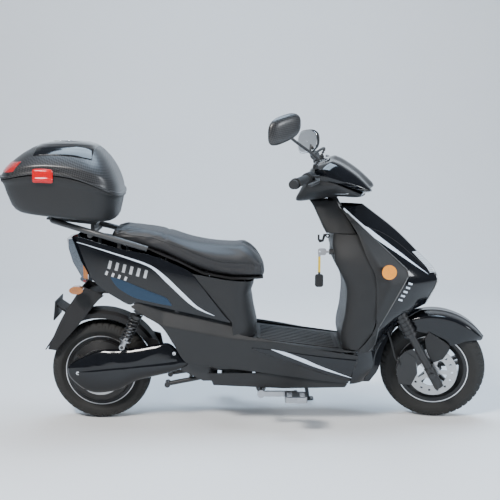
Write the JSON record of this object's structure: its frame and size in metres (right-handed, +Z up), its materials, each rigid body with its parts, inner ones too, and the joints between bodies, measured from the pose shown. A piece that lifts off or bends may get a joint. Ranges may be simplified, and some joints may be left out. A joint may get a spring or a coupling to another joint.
{
  "type": "moped scooter",
  "caption": "Electric moped scooter with pedals: step-through floor, hub motor, telescopic fork, drilled disc brakes, two-up seat, rack with top box, stands, mirrors",
  "frame": {"origin": "on the ground under the middle of the scooter's box, with the steering parked to the right and the side stand down", "axes": "+X forward, +Y to the rider's left, +Z up"},
  "size_m": [1.8571, 0.7159, 1.192],
  "materials": {
    "frame_paint": "satin",
    "gloss_black": "gloss",
    "textured_black": "fine grain",
    "battery_case": "satin",
    "controller_alloy": "cast",
    "mat_rubber": "ribbed",
    "lamp_lens": "clear",
    "head_lens": "clear",
    "amber": "moulded prisms",
    "tyre_rubber": "matte",
    "grip_rubber": "ribbed",
    "wheel_paint": "black with a machined lip",
    "disc_steel": "ground",
    "bare_alloy": "satin",
    "seat_vinyl": "grained",
    "seat_board": "matte",
    "latch_red": "gloss",
    "lid_black": "gloss",
    "mirror_case": "woven pattern",
    "hose_rubber": "smooth",
    "rack_paint": "satin",
    "spring_paint": "gloss",
    "key_steel": "plain"
  },
  "bodies": {
    "chassis": {"main_frame": "frame_paint", "battery_pack": "battery_case", "motor_controller": "controller_alloy", "seat_bucket": "seat_board", "footboard": "textured_black", "footboard_mat": "mat_rubber", "belly_pan": "textured_black", "side_sills": "textured_black", "rear_panels": "gloss_black", "underseat_cover": "textured_black", "tail_lamps": "lamp_lens", "rear_mudguard": "textured_black", "luggage_rack": "rack_paint", "topbox_base": "textured_black", "front_apron": "gloss_black", "headlight": "head_lens", "leg_shield": "textured_black", "side_reflectors": "amber", "ignition_lock": "key_steel"},
    "steering": {"steering_stem": "frame_paint", "handlebar": "frame_paint", "grip_left": "grip_rubber", "switch_pods": "textured_black", "cowl_upper": "gloss_black", "cowl_lower": "textured_black", "cowl_lenses": "head_lens"},
    "throttle": {"throttle_grip": "grip_rubber"},
    "lever_left": {"brake_lever_left": "bare_alloy"},
    "lever_right": {"brake_lever_right": "bare_alloy"},
    "left_mirror": {"mirror_left": "mirror_case"},
    "right_mirror": {"mirror_right": "mirror_case"},
    "fork": {"fork_legs": "frame_paint", "front_mudguard": "gloss_black", "front_caliper": "frame_paint", "front_brake_hose": "hose_rubber"},
    "front_wheel": {"front_rim": "wheel_paint", "front_tyre": "tyre_rubber", "front_disc": "disc_steel"},
    "rear_arm": {"swingarm": "frame_paint", "swingarm_cover": "gloss_black", "rear_caliper": "frame_paint", "rear_hugger": "textured_black"},
    "rear_wheel": {"rear_rim": "wheel_paint", "rear_tyre": "tyre_rubber", "rear_disc": "disc_steel"},
    "shock_top": {"shock_uppers": "frame_paint"},
    "shock_bottom": {"shock_lowers": "bare_alloy", "shock_springs": "spring_paint"},
    "seat": {"seat_base": "seat_board", "seat_cushion": "seat_vinyl"},
    "lid": {"topbox_lid": "lid_black"},
    "left_latch": {"latch_left": "latch_red"},
    "right_latch": {"latch_right": "latch_red"},
    "side_prop": {"side_stand": "frame_paint"},
    "centre_prop": {"centre_stand": "frame_paint"},
    "crank": {"crankset": "bare_alloy"},
    "left_pedal": {"pedal_left": "bare_alloy"},
    "right_pedal": {"pedal_right": "bare_alloy"},
    "ignition_key": {"key": "key_steel"},
    "hook": {"bag_hook": "textured_black"}
  },
  "joints": [
    {"name": "steer", "type": "hinge", "parent": "chassis", "child": "steering", "pos_m": [0.29984, 0, 0.90066], "axis": [-0.4848, 0, 0.8746], "range_deg": [-27, 49]},
    {"name": "fork_travel", "type": "slide", "parent": "steering", "child": "fork", "axis": [-0.4848, 0, 0.8746], "range_m": [-0.01, 0.025], "stiffness_N_per_m": 16000, "springref_m": -0.02},
    {"name": "front_wheel_spin", "type": "hinge", "parent": "fork", "child": "front_wheel", "pos_m": [0.71755, -0.00534, 0.2038], "axis": [0.1669, 0.9816, 0.0925], "continuous": true},
    {"name": "swingarm_pivot", "type": "hinge", "parent": "chassis", "child": "rear_arm", "pos_m": [-0.24, 0, 0.235], "axis": [0, 1, 0], "range_deg": [-3, 6], "stiffness_Nm_per_rad": 3000, "springref_deg": -3.15, "deforming": ["shock_springs"]},
    {"name": "rear_wheel_spin", "type": "hinge", "parent": "rear_arm", "child": "rear_wheel", "pos_m": [-0.582, 0, 0.195], "axis": [0, 1, 0], "continuous": true},
    {"name": "shock_upper_swing", "type": "hinge", "parent": "chassis", "child": "shock_top", "pos_m": [-0.423, 0, 0.452], "axis": [0, 1, 0], "range_deg": [-2, 3]},
    {"name": "shock_lower_swing", "type": "hinge", "parent": "rear_arm", "child": "shock_bottom", "pos_m": [-0.487, 0, 0.312], "axis": [0, 1, 0], "range_deg": [-7, 5]},
    {"name": "throttle_twist", "type": "hinge", "parent": "steering", "child": "throttle", "pos_m": [0.1809, -0.26505, 0.95505], "axis": [-0.3722, -0.9261, -0.0612], "range_deg": [0, 70], "stiffness_Nm_per_rad": 0.25, "springref_deg": -20.05},
    {"name": "brake_lever_left", "type": "hinge", "parent": "steering", "child": "lever_left", "pos_m": [0.30667, 0.1899, 0.99589], "axis": [-0.0078, -0.0925, 0.9957], "range_deg": [0, 9], "stiffness_Nm_per_rad": 2, "springref_deg": -8.59},
    {"name": "brake_lever_right", "type": "hinge", "parent": "steering", "child": "lever_right", "pos_m": [0.24113, -0.19561, 0.95956], "axis": [0.0078, 0.0925, -0.9957], "range_deg": [0, 9], "stiffness_Nm_per_rad": 2, "springref_deg": -8.59},
    {"name": "mirror_left_turn", "type": "hinge", "parent": "steering", "child": "left_mirror", "pos_m": [0.28126, 0.11255, 1.01542], "axis": [-0.0078, -0.0925, 0.9957], "range_deg": [-4, 10]},
    {"name": "mirror_right_turn", "type": "hinge", "parent": "steering", "child": "right_mirror", "pos_m": [0.24188, -0.11911, 0.99359], "axis": [-0.0078, -0.0925, 0.9957], "range_deg": [-10, 10]},
    {"name": "seat_hinge", "type": "hinge", "parent": "chassis", "child": "seat", "pos_m": [0.004, 0, 0.56], "axis": [0, 1, 0], "range_deg": [0, 55]},
    {"name": "lid_hinge", "type": "hinge", "parent": "chassis", "child": "lid", "pos_m": [-0.48086, 0, 0.88871], "axis": [0, 1, 0], "range_deg": [0, 75]},
    {"name": "latch_left", "type": "hinge", "parent": "chassis", "child": "left_latch", "pos_m": [-0.71469, 0.209, 0.89537], "axis": [-0.9877, 0, 0.1564], "range_deg": [0, 50]},
    {"name": "latch_right", "type": "hinge", "parent": "chassis", "child": "right_latch", "pos_m": [-0.71469, -0.209, 0.89537], "axis": [0.9877, 0, -0.1564], "range_deg": [0, 50]},
    {"name": "side_stand_pivot", "type": "hinge", "parent": "chassis", "child": "side_prop", "pos_m": [0.215, 0.134, 0.206], "axis": [0, 1, 0], "range_deg": [0, 38]},
    {"name": "centre_stand_pivot", "type": "hinge", "parent": "chassis", "child": "centre_prop", "pos_m": [-0.148, 0, 0.186], "axis": [0, 1, 0], "range_deg": [-80, 0]},
    {"name": "crank_spin", "type": "hinge", "parent": "chassis", "child": "crank", "pos_m": [0.042, 0, 0.145], "axis": [0, 1, 0], "continuous": true},
    {"name": "pedal_left_spin", "type": "hinge", "parent": "crank", "child": "left_pedal", "pos_m": [-0.087, 0.225, 0.145], "axis": [0, 1, 0], "continuous": true},
    {"name": "pedal_right_spin", "type": "hinge", "parent": "crank", "child": "right_pedal", "pos_m": [0.171, -0.225, 0.145], "axis": [0, 1, 0], "continuous": true},
    {"name": "key_turn", "type": "hinge", "parent": "chassis", "child": "ignition_key", "pos_m": [0.29, -0.074, 0.671], "axis": [1, 0, 0], "range_deg": [0, 80]},
    {"name": "hook_fold", "type": "hinge", "parent": "chassis", "child": "hook", "pos_m": [0.3, 0, 0.722], "axis": [0, 1, 0], "range_deg": [-35, 0]}
  ],
  "couplings": [
    {"joint": "shock_upper_swing", "follows": "swingarm_pivot", "ratio": 0.1791},
    {"joint": "shock_lower_swing", "follows": "swingarm_pivot", "ratio": -0.8209}
  ]
}
